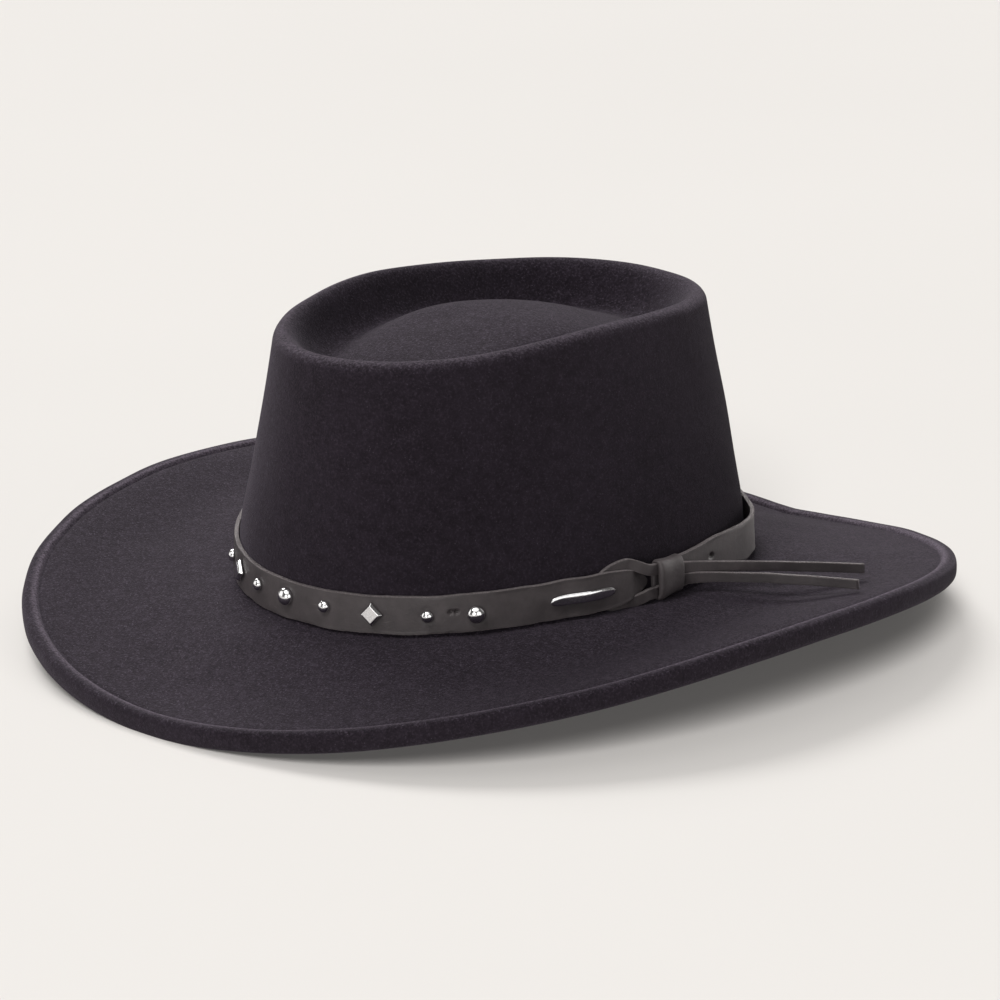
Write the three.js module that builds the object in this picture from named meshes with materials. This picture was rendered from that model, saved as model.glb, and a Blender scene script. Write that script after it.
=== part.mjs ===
// A black felt gambler hat with a telescope crown, a curled brim and a studded leather band.
//
// Millimetres, +Z up. The hat rests on the plane z = 0 on the front and the back of its brim.
// The front faces -Y and the wearer's left is +X. The origin is under the middle of the brim.
// An angle runs round the hat from the front (0) by the wearer's left (a quarter turn).

import * as THREE from "three";

// Felt
const FELT = 2.8; // wall of the crown and the brim

// Crown, measured on the outside of the felt
const FOOT_HALF_LENGTH = 100; // where the wall meets the brim, front to back
const FOOT_HALF_WIDTH = 87.7;
const FOOT_SQUARENESS = 2.03; // 2 is an ellipse, more is squarer
const BELT_INSET = 0.6; // how far the wall leans in behind the band
const TIP_INSET_LENGTH = 6.6; // and from there up to the shoulder, front and back
const TIP_INSET_WIDTH = 24; // and at the sides
const TIP_FORWARD = 0.7; // the tip's widest place lies this far in front of the middle
const TIP_SQUARENESS = 2.1;
const CROWN_HEIGHT_FRONT = 97.4; // foot to crest
const CROWN_HEIGHT_SIDE = 95.3;
const CROWN_HEIGHT_BACK = 94.4;
const CREST_ROUND = 5; // rounding between the shoulder and the crest
const GROOVE_DEPTH = 15; // of the moulded groove inside the crest
const DOME_LEAN = 10; // the raised middle of the tip is this much higher behind than in front
const BREAK_ROUND = 1.5; // fillet where the wall turns into the brim

// Brim
const BRIM_OUT_LENGTH = 77.1; // how far the brim reaches past the foot, front and back
const BRIM_OUT_WIDTH = 73.9; // and at the sides
const BRIM_SQUARENESS = 2.18;
const FOOT_Z_FRONT = 22.5; // height of the brim's top where it leaves the crown
const FOOT_Z_SIDE = 30.5;
const FOOT_Z_BACK = 26.7;
const EDGE_RISE = 29.4; // how far the sides of the brim curl up above its front and back
const EDGE_CLIMB_FRONT = 1.65; // power by which the edge climbs from the front
const EDGE_CLIMB_BACK = 1.37; // and from the back
const REST_FLATTENED = 0.8; // the felt gives this much where the hat stands on it
const SIDE_SAG = 3.5; // dip of the brim between the crown and the curled sides
const WELT_WIDTH = 6.2; // the edge is folded under into a thick border
const WELT_HEIGHT = 8.1; // thickness of the brim and the fold together
const WELT_RAISE = 1.2; // the border's top stands this much above the brim beside it
const WELT_SQUARENESS = 3;

// Leather band
const LEATHER = 1.7; // thickness
const BAND_WIDTH = 14;
const SEAT_GAP = 0.3; // clearance between pieces that touch
const BAND_ABOVE_FOOT = 1.5; // lower edge of the band above the brim
const BELT_ABOVE_BAND = 1; // the steep foot of the wall reaches this far above the band
const BELT_HEIGHT = BAND_ABOVE_FOOT + BAND_WIDTH + BELT_ABOVE_BAND;

// Knot of the band, on the wearer's left
const KEEPER_AT = 144; // along the band from the front to the middle of the keeper
const KEEPER_LENGTH = 11;
const KEEPER_HEIGHT = 15; // outside, up the crown
const KNOT_DROP = 0.8; // the keeper hangs this much below the middle of the band
const KEEPER_DEPTH = 7; // outside, away from the crown
const KEEPER_WALL = 1.3;
const CORD_WIDTH = 4.2; // flat cord that makes the loop and the two tails
const CORD_THICKNESS = 1.6;
const LOOP_LENGTH = 26; // from its front end to the keeper
const LOOP_OVER = 2.3; // how far the loop reaches above and below the band
const TONGUE_SHARE = 0.9; // of the loop's length is filled by the band's rounded end
const TONGUE_BLUNTNESS = 2.2; // 2 is an elliptic end, more is blunter
const TAIL_LENGTH = 65; // of the upper loose end, past the keeper along the band's line
const LOWER_TAIL_SHARE = 0.87; // length of the lower end as a share of the upper one's
const TAIL_SWING = 31; // how far the upper tip stands out from the band's line
const LOWER_TAIL_SWING = 34.5; // and the lower tip
const TAIL_DROOP = 7.5; // how far the tips hang down
const TAIL_OVER_BRIM = 1; // least clearance between a tail and the brim

// Metal trim. `at` is the stud's place along the band from the front, in pitches, and `up` its
// height above the band's middle as a share of the band's width.
const STUD_PITCH = 18.2;
const STUDS = [
  { kind: "small", at: -3.16, up: -0.03 },
  { kind: "diamond", at: -2.26, up: 0 },
  { kind: "small", at: -1.27, up: 0.043 },
  { kind: "large", at: -0.31, up: 0.071 },
  { kind: "small", at: 0.69, up: 0.064 },
  { kind: "diamond", at: 1.73, up: 0.014 },
  { kind: "small", at: 2.83, up: -0.021 },
  { kind: "large", at: 3.76, up: -0.043 },
];
const SMALL_STUD_RADIUS = 2.3;
const LARGE_STUD_RADIUS = 3.3;
const STUD_DOME = 0.78; // height of a round stud's dome as a share of its radius
const STUD_RIM = 0.4; // straight rim under the dome
const DIAMOND_HALF = 4.3;
const DIAMOND_HEIGHT = 1.8;
const DIAMOND_BEVEL = 1.2;
const BAR_AT = 106.6; // along the band from the front to the middle of the bar
const BAR_LENGTH = 24;
const BAR_WIDTH = 4;
const BAR_THICKNESS = 1.3;

// Fineness of the meshes
const FELT_SIDES = 72;
const BAND_STEP = 8;
const TONGUE_STEPS = 9;
const LOOP_STEPS = 12;
const TAIL_STEPS = 9;
const STUD_SIDES = 14;

const TURN = 2 * Math.PI;
const lerp = THREE.MathUtils.lerp;
const rad = THREE.MathUtils.degToRad;
const smooth = (share) => THREE.MathUtils.smoothstep(share, 0, 1);

// A value that is `front`, `side` or `back` at those places and runs smoothly between them.
function around(angle, front, side, back) {
  const cos = Math.cos(angle);
  return lerp(side, cos > 0 ? front : back, cos * cos);
}

// Ovals seen from above: half lengths to the front and back, half width, squareness, and how far
// the widest place lies in front of the origin.
const footOval = {
  front: FOOT_HALF_LENGTH,
  back: FOOT_HALF_LENGTH,
  side: FOOT_HALF_WIDTH,
  square: FOOT_SQUARENESS,
  forward: 0,
};
const beltOval = grown(footOval, -BELT_INSET);
const shoulderOval = {
  front: beltOval.front - TIP_INSET_LENGTH - TIP_FORWARD,
  back: beltOval.back - TIP_INSET_LENGTH + TIP_FORWARD,
  side: beltOval.side - TIP_INSET_WIDTH,
  square: TIP_SQUARENESS,
  forward: TIP_FORWARD,
};
const edgeOval = {
  front: FOOT_HALF_LENGTH + BRIM_OUT_LENGTH,
  back: FOOT_HALF_LENGTH + BRIM_OUT_LENGTH,
  side: FOOT_HALF_WIDTH + BRIM_OUT_WIDTH,
  square: BRIM_SQUARENESS,
  forward: 0,
};

function mixOvals(a, b, share) {
  const mixed = {};
  for (const key of Object.keys(a)) mixed[key] = lerp(a[key], b[key], share);
  return mixed;
}

function grown(oval, by) {
  return { ...oval, front: oval.front + by, back: oval.back + by, side: oval.side + by };
}

function ovalPoint(oval, angle, z, share = 1) {
  const cos = Math.cos(angle);
  const sin = Math.sin(angle);
  const along = Math.abs(cos) / (cos > 0 ? oval.front : oval.back);
  const across = Math.abs(sin) / oval.side;
  const reach = share * (along ** oval.square + across ** oval.square) ** (-1 / oval.square);
  return new THREE.Vector3(reach * sin, -reach * cos - oval.forward, z);
}

// Heights of the felt's outside
const footZ = (angle) => around(angle, FOOT_Z_FRONT, FOOT_Z_SIDE, FOOT_Z_BACK);
const crownHeight = (angle) =>
  around(angle, CROWN_HEIGHT_FRONT, CROWN_HEIGHT_SIDE, CROWN_HEIGHT_BACK);
const crestZ = (angle) => footZ(angle) + crownHeight(angle);

// Height of the underside of the brim's edge.
const edgeZ = (angle) => {
  const climb = lerp(EDGE_CLIMB_FRONT, EDGE_CLIMB_BACK, (1 - Math.cos(angle)) / 2);
  return EDGE_RISE * Math.abs(Math.sin(angle)) ** climb - REST_FLATTENED;
};

// The crown's top, from the middle out to the crest. `out` is the share of the way to the crest,
// `sink` the share of the groove's depth below it.
const TIP_ROWS = [
  { out: 0.2, sink: 0.41 },
  { out: 0.38, sink: 0.46 },
  { out: 0.53, sink: 0.58 },
  { out: 0.64, sink: 0.75 },
  { out: 0.72, sink: 0.91 },
  { out: 0.78, sink: 1 },
  { out: 0.84, sink: 0.93 },
  { out: 0.89, sink: 0.68 },
  { out: 0.93, sink: 0.36 },
  { out: 0.966, sink: 0.11 },
  { out: 1, sink: 0 },
];
const MIDDLE_SINK = 0.4; // the middle of the top below the crest, as a share of the groove's depth

// The crest's outer rounding, in degrees from its top.
const CREST_TURNS = [28, 54, 78];

// The wall below that rounding, in shares of the way down to the top of the band.
const WALL_SHARES = [0.33, 0.67, 1];

// Shares of the way across the brim from the foot's fillet to the welt.
const BRIM_SHARES = [0.14, 0.3, 0.46, 0.62, 0.78, 0.92, 1];

// Places round the welt's section, in degrees: 90 is its top, 0 its outer side, -90 its bottom.
const WELT_TURNS = [135, 105, 70, 35, 0, -35, -60, -90, -120, -140];

// The lowest turn of the crest's rounding, from which the wall runs straight down.
const shoulderTurn = rad(CREST_TURNS[CREST_TURNS.length - 1]);
const crestOval = grown(shoulderOval, -CREST_ROUND * Math.sin(shoulderTurn));
const shoulderDrop = CREST_ROUND * (1 - Math.cos(shoulderTurn));

// Height of the raised middle of the tip, along the hat.
const domeZ = (y) =>
  crestZ(Math.PI / 2) - MIDDLE_SINK * GROOVE_DEPTH + (DOME_LEAN * y) / (2 * crestOval.side);

function tipPoint(angle, { out, sink }) {
  const point = ovalPoint(crestOval, angle, 0, out);
  const ownZ = crestZ(angle) - sink * GROOVE_DEPTH;
  return point.setZ(lerp(domeZ(point.y), ownZ, smooth(Math.min(1, 1.6 * out))));
}

function crestPoint(angle, turn) {
  const oval = grown(crestOval, CREST_ROUND * Math.sin(turn));
  return ovalPoint(oval, angle, crestZ(angle) - CREST_ROUND * (1 - Math.cos(turn)));
}

// A point on the wall above the band, `down` as in WALL_SHARES.
function wallPoint(angle, down) {
  const z = lerp(crestZ(angle) - shoulderDrop, footZ(angle) + BELT_HEIGHT, down);
  return ovalPoint(mixOvals(shoulderOval, beltOval, down), angle, z);
}

// A point on the fillet between wall and brim, from its top (turn 0) to the brim (a quarter turn).
function breakPoint(angle, turn) {
  const oval = grown(footOval, BREAK_ROUND * (1 - Math.cos(turn)));
  return ovalPoint(oval, angle, footZ(angle) + BREAK_ROUND * (1 - Math.sin(turn)));
}

const brimInner = grown(footOval, BREAK_ROUND);
const brimOuter = grown(edgeOval, -WELT_WIDTH);

// The top of the brim: level at the crown, sloping, and nearly level again at the welt.
function brimPoint(angle, share) {
  const slope = (share + smooth(share)) / 2;
  const sag = SIDE_SAG * Math.sin(angle) ** 2 * Math.sin(Math.PI * share) ** 2;
  const rim = edgeZ(angle) + WELT_HEIGHT - WELT_RAISE;
  const z = lerp(footZ(angle), rim, slope) - sag;
  return ovalPoint(mixOvals(brimInner, brimOuter, share), angle, z);
}

// The felt lies flat where the hat stands on it.
function restOnFloor(point) {
  point.z = Math.max(point.z, 0);
  return point;
}

function weltPoint(angle, turn) {
  const cos = Math.cos(turn);
  const sin = Math.sin(turn);
  const reach =
    (Math.abs(cos) ** WELT_SQUARENESS + Math.abs(sin) ** WELT_SQUARENESS) ** (-1 / WELT_SQUARENESS);
  const out = (WELT_WIDTH / 2) * (reach * cos - 1);
  const z = edgeZ(angle) + (WELT_HEIGHT / 2) * (1 + reach * sin);
  return restOnFloor(ovalPoint(grown(edgeOval, out), angle, z));
}

// The rings of the felt's upper surface, from the middle of the top to the welt.
function upperRings(angle) {
  const quarter = Math.PI / 2;
  return [
    ...TIP_ROWS.map((row) => tipPoint(angle, row)),
    ...CREST_TURNS.map((turn) => crestPoint(angle, rad(turn))),
    ...WALL_SHARES.map((down) => wallPoint(angle, down)),
    ...[0, quarter / 2, quarter].map((turn) => breakPoint(angle, turn)),
    ...BRIM_SHARES.map((share) => brimPoint(angle, share)),
  ];
}

// Closes a list of rings into one mesh. Each ring has the same number of points. `first` and
// `last` are the end points that the outermost rings close on, or null for a closed tube.
function solidOfRings(rings, first = null, last = null) {
  const sides = rings[0].length;
  const points = rings.flat();
  const faces = [];
  const at = (ring, side) => (ring % rings.length) * sides + (side % sides);
  const spans = first ? rings.length - 1 : rings.length;
  for (let ring = 0; ring < spans; ring++)
    for (let side = 0; side < sides; side++) {
      faces.push(at(ring, side), at(ring + 1, side), at(ring + 1, side + 1));
      faces.push(at(ring, side), at(ring + 1, side + 1), at(ring, side + 1));
    }
  if (first) {
    const [start, end] = [points.push(first) - 1, points.push(last) - 1];
    for (let side = 0; side < sides; side++) {
      faces.push(start, at(0, side), at(0, side + 1));
      faces.push(end, at(rings.length - 1, side + 1), at(rings.length - 1, side));
    }
  }
  const geometry = new THREE.BufferGeometry().setFromPoints(points);
  geometry.setIndex(faces);
  geometry.computeVertexNormals();
  return geometry;
}

const centreOf = (ring) =>
  ring.reduce((sum, point) => sum.add(point), new THREE.Vector3()).divideScalar(ring.length);

// The felt: its upper surface, the welt, and the lower surface one wall inside.
function feltGeometry() {
  const angles = Array.from({ length: FELT_SIDES }, (_, i) => (i * TURN) / FELT_SIDES);
  const columns = angles.map(upperRings);
  const count = columns[0].length;
  const upper = Array.from({ length: count }, (_, ring) => columns.map((points) => points[ring]));
  const top = new THREE.Vector3(0, -TIP_FORWARD, domeZ(-TIP_FORWARD));
  const lower = upper.map((points, ring) =>
    points.map((point, side) => {
      const before = ring ? upper[ring - 1][side] : top;
      const after = upper[Math.min(ring + 1, count - 1)][side];
      const left = points[(side + 1) % FELT_SIDES];
      const right = points[(side + FELT_SIDES - 1) % FELT_SIDES];
      const outward = new THREE.Vector3()
        .subVectors(after, before)
        .cross(new THREE.Vector3().subVectors(left, right))
        .normalize();
      return restOnFloor(point.clone().addScaledVector(outward, -FELT));
    }),
  );
  const welt = WELT_TURNS.map((turn) => angles.map((angle) => weltPoint(angle, rad(turn))));
  const bottom = top.clone().setZ(top.z - FELT);
  return solidOfRings([...upper, ...welt, ...lower.reverse()], top, bottom);
}

// The crown's wall as the band sees it: a place is a distance along the band from the front, a
// height above the foot, and a distance out from the felt.
const BAND_MIDDLE = BAND_ABOVE_FOOT + BAND_WIDTH / 2;

function wallAt(angle, height) {
  const up = (height - BREAK_ROUND) / (BELT_HEIGHT - BREAK_ROUND);
  return ovalPoint(mixOvals(footOval, beltOval, up), angle, footZ(angle) + height);
}

// Angles at equal small steps, with the distance along the band to each.
const RULER_STEPS = 1440;
const ruler = [0];
for (let i = 1; i <= RULER_STEPS; i++) {
  const [a, b] = [i - 1, i].map((n) => wallAt((n * TURN) / RULER_STEPS, BAND_MIDDLE));
  ruler.push(ruler[i - 1] + a.distanceTo(b));
}
const bandRound = ruler[RULER_STEPS];

function angleAt(along) {
  const distance = ((along % bandRound) + bandRound) % bandRound;
  let i = 0;
  while (i < RULER_STEPS - 1 && ruler[i + 1] < distance) i++;
  const part = (distance - ruler[i]) / (ruler[i + 1] - ruler[i]);
  return ((i + part) * TURN) / RULER_STEPS;
}

// The wall's directions at a place on the band: forth along it, up the wall and out of it.
function bandFrame(along, height = BAND_MIDDLE) {
  const angle = angleAt(along);
  const origin = wallAt(angle, height);
  const small = 0.01;
  const forth = wallAt(angle + small, height).sub(wallAt(angle - small, height)).normalize();
  const rise = wallAt(angle, height + 1).sub(origin);
  const out = new THREE.Vector3().crossVectors(forth, rise).normalize();
  const up = new THREE.Vector3().crossVectors(out, forth);
  return { origin, forth, up, out };
}

function bandPoint(along, height, out) {
  const frame = bandFrame(along, height);
  return frame.origin.addScaledVector(frame.out, out);
}

// A strip along a list of stations: each gives the four corners of its section, in order.
const strip = (sections) =>
  solidOfRings(sections, centreOf(sections[0]), centreOf(sections[sections.length - 1]));

// Distances out from the felt: the cord under the band, the band over the cord, and the cord
// where it passes through the keeper.
const CORD_UNDER = SEAT_GAP;
const BAND_OVER = CORD_UNDER + CORD_THICKNESS + SEAT_GAP;
const CORD_IN_KEEPER = SEAT_GAP + (KEEPER_DEPTH - CORD_THICKNESS) / 2;
const KEEPER_MIDDLE = BAND_MIDDLE - KNOT_DROP;
// The cord's halves from the keeper's middle: against its walls in front, together behind.
const CORD_APART = (KEEPER_HEIGHT - CORD_WIDTH) / 2 - KEEPER_WALL - SEAT_GAP;
const CORD_TOGETHER = (CORD_WIDTH + SEAT_GAP) / 2;
const LOOP_END = KEEPER_AT - KEEPER_LENGTH / 2 - LOOP_LENGTH; // the loop's front end
const LOOP_CROSSED = 0.5; // share of the loop's length where the band's end is inside the loop
const LOOP_SETTLED = 0.8; // share where the band is back on the felt and the cord off it

// The band, from its rounded front end back round the crown to the keeper's far side.
const BAND_CLIMB = 12; // over this length the band rises over the loop
const BAND_CLIMBED = 0.9; // share of that length where it is all the way up
const REAR_END = KEEPER_AT + KEEPER_LENGTH / 2 + SEAT_GAP; // of the band, behind the keeper
const REAR_TAPER = 2; // the top edge of the rear end comes down this much to the keeper
const REAR_TAPER_LENGTH = 30;

const closing = (share) => smooth((share - LOOP_CROSSED) / (1 - LOOP_CROSSED));
const crossing = (share) => smooth((share - LOOP_CROSSED) / (LOOP_SETTLED - LOOP_CROSSED));

// How far the band's inner face stands out from the felt.
function bandOut(along) {
  const past = along - LOOP_END;
  const onTop = smooth((past + BAND_CLIMB) / (BAND_CLIMBED * BAND_CLIMB));
  return lerp(lerp(SEAT_GAP, BAND_OVER, onTop), SEAT_GAP, crossing(past / LOOP_LENGTH));
}

function bandSection(along) {
  const past = along - LOOP_END;
  const out = bandOut(along);
  const taper = Math.max(0, past / (TONGUE_SHARE * LOOP_LENGTH));
  const lower = (REAR_TAPER / 2) * (1 - smooth((along + bandRound - REAR_END) / REAR_TAPER_LENGTH));
  const half = (BAND_WIDTH / 2) * Math.sqrt(1 - taper ** TONGUE_BLUNTNESS) - lower;
  const middle = BAND_MIDDLE - KNOT_DROP * closing(past / LOOP_LENGTH) - lower;
  return [
    bandPoint(along, middle - half, out),
    bandPoint(along, middle - half, out + LEATHER),
    bandPoint(along, middle + half, out + LEATHER),
    bandPoint(along, middle + half, out),
  ];
}

function bandGeometry() {
  const rear = REAR_END - bandRound;
  const climb = LOOP_END - BAND_CLIMB;
  const count = Math.ceil((climb - rear) / BAND_STEP);
  const places = Array.from({ length: count }, (_, i) => lerp(rear, climb, i / count));
  for (const share of [0, 0.25, 0.5, 0.75]) places.push(climb + BAND_CLIMB * share);
  for (let i = 0; i < TONGUE_STEPS; i++) {
    const share = Math.sin(((i / TONGUE_STEPS) * Math.PI) / 2);
    places.push(LOOP_END + TONGUE_SHARE * LOOP_LENGTH * share);
  }
  return strip(places.map(bandSection));
}

// One half of the cord: `side` is 1 for the upper half and -1 for the lower half. Each place is
// the cord's middle, its direction across and its direction away from the felt.
function loopPlace(side, turn) {
  const at = (t) => {
    const share = (1 - Math.cos(t)) / 2;
    const wide = ((BAND_WIDTH - CORD_WIDTH) / 2 + LOOP_OVER) * Math.sin(t);
    const closed = closing(share);
    return new THREE.Vector2(
      LOOP_END + CORD_WIDTH / 2 + share * (LOOP_LENGTH - CORD_WIDTH / 2),
      BAND_MIDDLE + side * lerp(wide, CORD_APART, closed) - KNOT_DROP * closed,
    );
  };
  const small = 0.02;
  const middle = at(turn);
  const ahead = at(turn + small).sub(at(turn - small)).normalize();
  const share = (1 - Math.cos(turn)) / 2;
  const out = lerp(CORD_UNDER, CORD_IN_KEEPER, crossing(share));
  const frame = bandFrame(middle.x, middle.y);
  return {
    middle: frame.origin.clone().addScaledVector(frame.out, out + CORD_THICKNESS / 2),
    across: frame.forth
      .clone()
      .multiplyScalar(-side * ahead.y)
      .addScaledVector(frame.up, side * ahead.x),
    away: frame.out,
  };
}

function keeperPlace(side, past) {
  const spread = lerp(CORD_APART, CORD_TOGETHER, past / KEEPER_LENGTH + 0.5);
  const frame = bandFrame(KEEPER_AT + past, KEEPER_MIDDLE + side * spread);
  const out = CORD_IN_KEEPER + CORD_THICKNESS / 2;
  return {
    middle: frame.origin.clone().addScaledVector(frame.out, out),
    across: frame.up,
    away: frame.out,
  };
}

// A tail leaves the keeper along the band, swings out, and droops towards the brim.
function tailMiddle(side, share) {
  const [length, swing, stack] =
    side > 0
      ? [TAIL_LENGTH, TAIL_SWING, CORD_WIDTH + SEAT_GAP]
      : [LOWER_TAIL_SHARE * TAIL_LENGTH, LOWER_TAIL_SWING, 0];
  const { middle, away } = keeperPlace(side, KEEPER_LENGTH / 2);
  const outward = away.setZ(0).normalize();
  const forth = new THREE.Vector3(-outward.y, outward.x, 0);
  middle.addScaledVector(forth, share * length);
  middle.addScaledVector(outward, swing * share ** 1.7);
  middle.z -= TAIL_DROOP * share;
  const least = brimTopUnder(middle) + TAIL_OVER_BRIM + CORD_WIDTH / 2 + stack;
  return middle.setZ(Math.max(middle.z, least));
}

function tailPlace(side, share) {
  const small = 0.01;
  const { across } = keeperPlace(side, KEEPER_LENGTH / 2);
  const ahead = tailMiddle(side, share).sub(tailMiddle(side, share - small));
  const away = ahead.cross(across).normalize();
  return { middle: tailMiddle(side, share), across, away };
}

function brimTopUnder(point) {
  const angle = Math.atan2(point.x, -point.y);
  const reach = Math.hypot(point.x, point.y);
  const inner = ovalPoint(brimInner, angle, 0);
  const outer = ovalPoint(brimOuter, angle, 0);
  const from = Math.hypot(inner.x, inner.y);
  const share = (reach - from) / (Math.hypot(outer.x, outer.y) - from);
  return brimPoint(angle, THREE.MathUtils.clamp(share, 0, 1)).z;
}

function cordHalf(side) {
  const loop = Array.from({ length: LOOP_STEPS }, (_, i) => ((i + 1) * Math.PI) / LOOP_STEPS);
  const tail = Array.from({ length: TAIL_STEPS }, (_, i) => (i + 1) / TAIL_STEPS);
  return [
    ...loop.slice(0, -1).map((turn) => loopPlace(side, turn)),
    ...[-0.5, 0, 0.5].map((share) => keeperPlace(side, share * KEEPER_LENGTH)),
    ...tail.map((share) => tailPlace(side, share)),
  ];
}

// The cord runs from the lower tail's tip through the keeper, round the loop and back to the
// upper tail's tip. Its section turns over where the halves meet behind the band.
function cordGeometry() {
  const section = ({ middle, across, away }, side) =>
    [[-1, -1], [-1, 1], [1, 1], [1, -1]].map(([sideways, outward]) =>
      middle
        .clone()
        .addScaledVector(across, (side * sideways * CORD_WIDTH) / 2)
        .addScaledVector(away, (outward * CORD_THICKNESS) / 2),
    );
  const lower = cordHalf(-1).reverse().map((place) => section(place, -1));
  const front = section(loopPlace(1, 0), 1);
  const upper = cordHalf(1).map((place) => section(place, 1));
  return strip([...lower, front, ...upper]);
}

// The keeper: a sleeve round the two halves of the cord, like a rounded rectangle in section.
const KEEPER_SIDES = 20;
const KEEPER_SQUARENESS = 3;

function keeperRing(along, inset) {
  const frame = bandFrame(along, KEEPER_MIDDLE);
  const halfUp = KEEPER_HEIGHT / 2 - inset;
  const halfOut = KEEPER_DEPTH / 2 - inset;
  return Array.from({ length: KEEPER_SIDES }, (_, i) => {
    const turn = (i * TURN) / KEEPER_SIDES;
    const cos = Math.cos(turn);
    const sin = Math.sin(turn);
    const reach =
      (Math.abs(cos) ** KEEPER_SQUARENESS + Math.abs(sin) ** KEEPER_SQUARENESS) **
      (-1 / KEEPER_SQUARENESS);
    return frame.origin
      .clone()
      .addScaledVector(frame.up, halfUp * reach * cos)
      .addScaledVector(frame.out, SEAT_GAP + KEEPER_DEPTH / 2 + halfOut * reach * sin);
  });
}

function keeperGeometry() {
  const places = [-0.5, -0.25, 0, 0.25, 0.5].map((share) => KEEPER_AT + share * KEEPER_LENGTH);
  const outside = places.map((along) => keeperRing(along, 0));
  const inside = places.map((along) => keeperRing(along, KEEPER_WALL)).reverse();
  return solidOfRings([...outside, ...inside].reverse());
}

// Metal trim, modelled with its back on z = 0 and facing +Z.
function roundStud(radius) {
  const height = STUD_DOME * radius;
  const profile = [new THREE.Vector2(0, 0), new THREE.Vector2(radius, 0)];
  for (const turn of [0, 22, 44, 66])
    profile.push(
      new THREE.Vector2(radius * Math.cos(rad(turn)), STUD_RIM + height * Math.sin(rad(turn))),
    );
  profile.push(new THREE.Vector2(0, STUD_RIM + height));
  return new THREE.LatheGeometry(profile, STUD_SIDES).rotateX(Math.PI / 2);
}

function diamondStud() {
  const rim = DIAMOND_HALF;
  const face = DIAMOND_HALF - DIAMOND_BEVEL;
  const low = DIAMOND_HEIGHT / 3;
  const profile = [
    new THREE.Vector2(0, 0),
    new THREE.Vector2(rim, 0),
    new THREE.Vector2(rim, low),
    new THREE.Vector2(face, DIAMOND_HEIGHT),
    new THREE.Vector2(0, DIAMOND_HEIGHT),
  ];
  return new THREE.LatheGeometry(profile, 4).rotateX(Math.PI / 2);
}

// The bar is bent to the band: a strip along its outer face.
function barGeometry() {
  const steps = 10;
  const sections = Array.from({ length: steps + 1 }, (_, i) => {
    const share = i / steps;
    const along = BAR_AT + (share - 0.5) * BAR_LENGTH;
    const from = bandOut(along) + LEATHER + SEAT_GAP;
    const half = (BAR_WIDTH / 2) * (i === 0 || i === steps ? 0.55 : 1);
    return [
      bandPoint(along, BAND_MIDDLE - half, from),
      bandPoint(along, BAND_MIDDLE - half, from + BAR_THICKNESS),
      bandPoint(along, BAND_MIDDLE + half, from + BAR_THICKNESS),
      bandPoint(along, BAND_MIDDLE + half, from),
    ];
  });
  return strip(sections);
}

const felt = new THREE.MeshStandardMaterial({ color: 0x2a262b, roughness: 0.95, metalness: 0 });
const leather = new THREE.MeshStandardMaterial({ color: 0x24211f, roughness: 0.5, metalness: 0 });
const silver = new THREE.MeshStandardMaterial({ color: 0xd0d0d2, roughness: 0.2, metalness: 1 });

const hat = new THREE.Group();

function add(name, geometry, material) {
  const mesh = new THREE.Mesh(geometry, material);
  mesh.name = name;
  hat.add(mesh);
  return mesh;
}

// Seats a stud on the band's outer face.
function seatStud(mesh, { at, up: raised }) {
  const height = BAND_MIDDLE + raised * BAND_WIDTH;
  const { origin, forth, up, out } = bandFrame(at * STUD_PITCH, height);
  mesh.position.copy(origin.addScaledVector(out, LEATHER + 2 * SEAT_GAP));
  mesh.quaternion.setFromRotationMatrix(new THREE.Matrix4().makeBasis(forth, up, out));
}

add("felt_body", feltGeometry(), felt);
add("hat_band", bandGeometry(), leather);
add("band_cord", cordGeometry(), leather);
add("band_keeper", keeperGeometry(), leather);
add("plain_bar", barGeometry(), silver);

const STUD_SHAPES = {
  small: () => roundStud(SMALL_STUD_RADIUS),
  large: () => roundStud(LARGE_STUD_RADIUS),
  diamond: diamondStud,
};
STUDS.forEach((stud, i) => {
  seatStud(add(`stud_${i + 1}_${stud.kind}`, STUD_SHAPES[stud.kind](), silver), stud);
});

export default hat;
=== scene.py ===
import math

import bpy
import numpy as np
from mathutils import Matrix, Vector


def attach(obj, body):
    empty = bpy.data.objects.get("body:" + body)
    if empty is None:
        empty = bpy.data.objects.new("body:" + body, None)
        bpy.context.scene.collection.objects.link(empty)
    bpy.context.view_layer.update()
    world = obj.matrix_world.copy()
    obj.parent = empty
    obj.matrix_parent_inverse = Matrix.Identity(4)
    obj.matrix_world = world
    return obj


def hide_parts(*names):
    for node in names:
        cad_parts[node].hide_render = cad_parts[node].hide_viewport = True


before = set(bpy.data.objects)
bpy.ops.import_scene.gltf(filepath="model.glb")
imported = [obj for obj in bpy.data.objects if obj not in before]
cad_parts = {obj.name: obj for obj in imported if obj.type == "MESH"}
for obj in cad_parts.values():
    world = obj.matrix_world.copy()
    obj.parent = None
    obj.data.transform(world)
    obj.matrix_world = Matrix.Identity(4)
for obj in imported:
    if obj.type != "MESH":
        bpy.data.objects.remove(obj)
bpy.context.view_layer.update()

# The front of the hat faces -Y and the wearer's left is +X. An angle runs round the hat from the
# front by the wearer's left. All sizes are metres.
MM = 0.001
TURN = 2 * math.pi
QUARTER = math.pi / 2

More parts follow.
